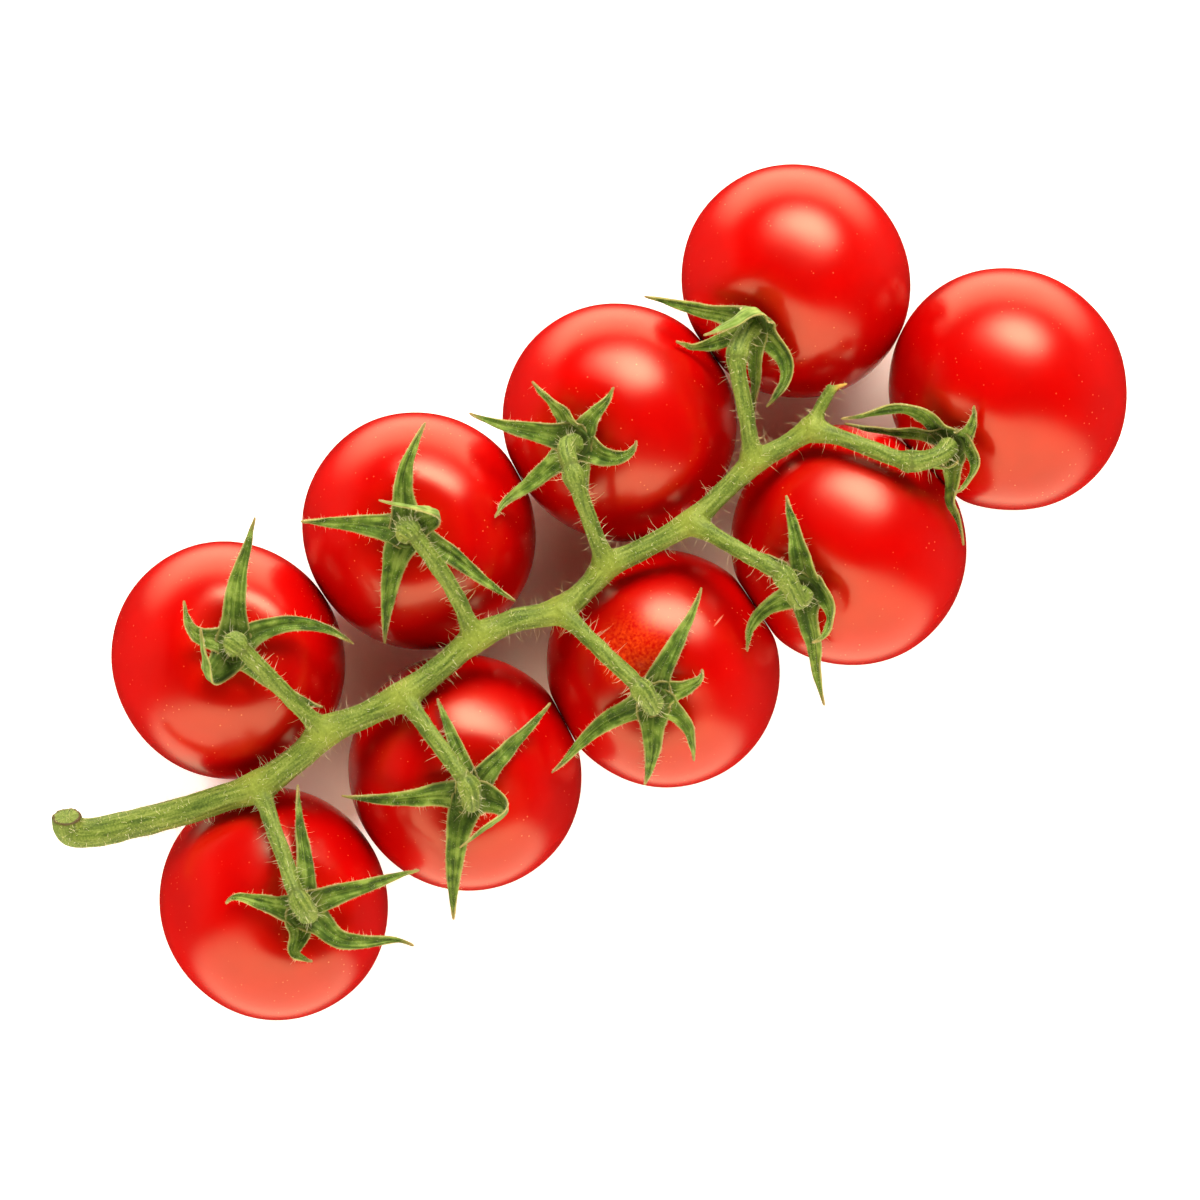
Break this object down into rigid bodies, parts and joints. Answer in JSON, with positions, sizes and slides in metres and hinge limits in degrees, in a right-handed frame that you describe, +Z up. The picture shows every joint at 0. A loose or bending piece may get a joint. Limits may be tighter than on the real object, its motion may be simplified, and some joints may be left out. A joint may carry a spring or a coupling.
{
  "type": "truss of cherry tomatoes",
  "caption": "Truss of ripe cherry tomatoes lying in two rows, with a green zigzag stem, stalks and star-shaped calyces, as picked.",
  "frame": {"origin": "on the surface that the truss lies on, under the middle of its bounding box", "axes": "+Z up, away from the surface; +X along the truss from the stem's cut end to its tip; +Y across the two rows of fruits"},
  "size_m": [0.1692, 0.0726, 0.0425],
  "materials": {
    "tomato": "smooth glossy skin of a ripe fruit, saturated red, with fine pale specks",
    "calyx": "matt mid to dark green leaf, finely hairy, with lengthwise veins and paler edges",
    "stem": "matt light green stem with fine lengthwise streaks and pale hairs, yellower at its nodes"
  },
  "bodies": {
    "root": {"tomato_1": "tomato", "tomato_2": "tomato", "tomato_3": "tomato", "tomato_4": "tomato", "tomato_5": "tomato", "tomato_6": "tomato", "tomato_7": "tomato", "tomato_8": "tomato", "tomato_9": "tomato", "calyx_1": "calyx", "calyx_2": "calyx", "calyx_3": "calyx", "calyx_4": "calyx", "calyx_5": "calyx", "calyx_6": "calyx", "calyx_7": "calyx", "calyx_8": "calyx", "calyx_9": "calyx", "stem": "stem"}
  },
  "joints": []
}
